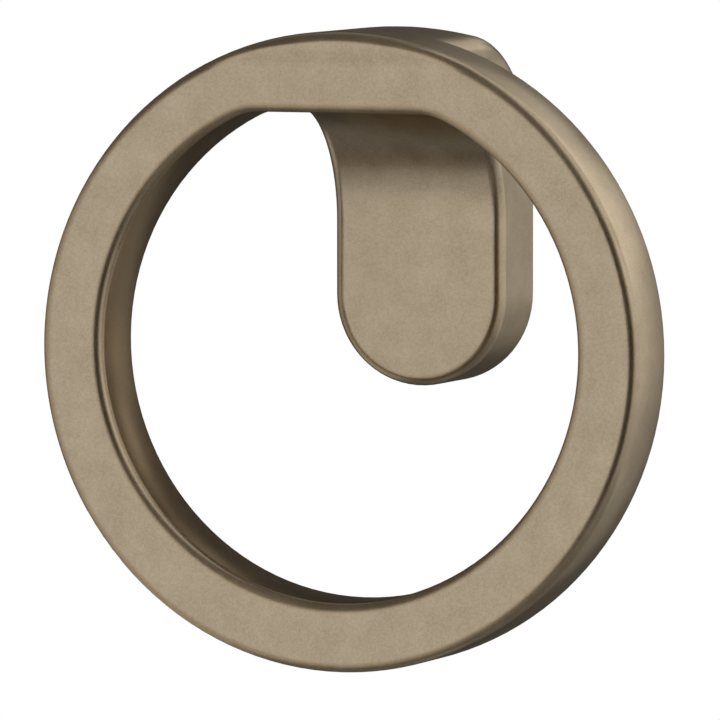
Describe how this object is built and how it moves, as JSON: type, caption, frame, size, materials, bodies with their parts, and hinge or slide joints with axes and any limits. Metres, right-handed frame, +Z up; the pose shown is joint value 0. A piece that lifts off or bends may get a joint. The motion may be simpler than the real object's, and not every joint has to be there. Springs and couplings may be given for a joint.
{
  "type": "cabinet knob",
  "caption": "Ring-shaped cabinet knob: a flat open ring held clear of the door by a curved neck on a round-ended base, with a threaded hole in its back.",
  "frame": {"origin": "centre of the screw hole's mouth, in the mounting face at the back of the base", "axes": "+Z up, +Y out of the back into the cabinet door, -Y out of the ring's front face, +X to the right seen from the front"},
  "size_m": [0.048, 0.024, 0.048],
  "materials": {
    "satin_bronze": "satin champagne bronze plating over a zinc casting"
  },
  "bodies": {
    "root": {"knob": "satin_bronze"}
  },
  "joints": []
}
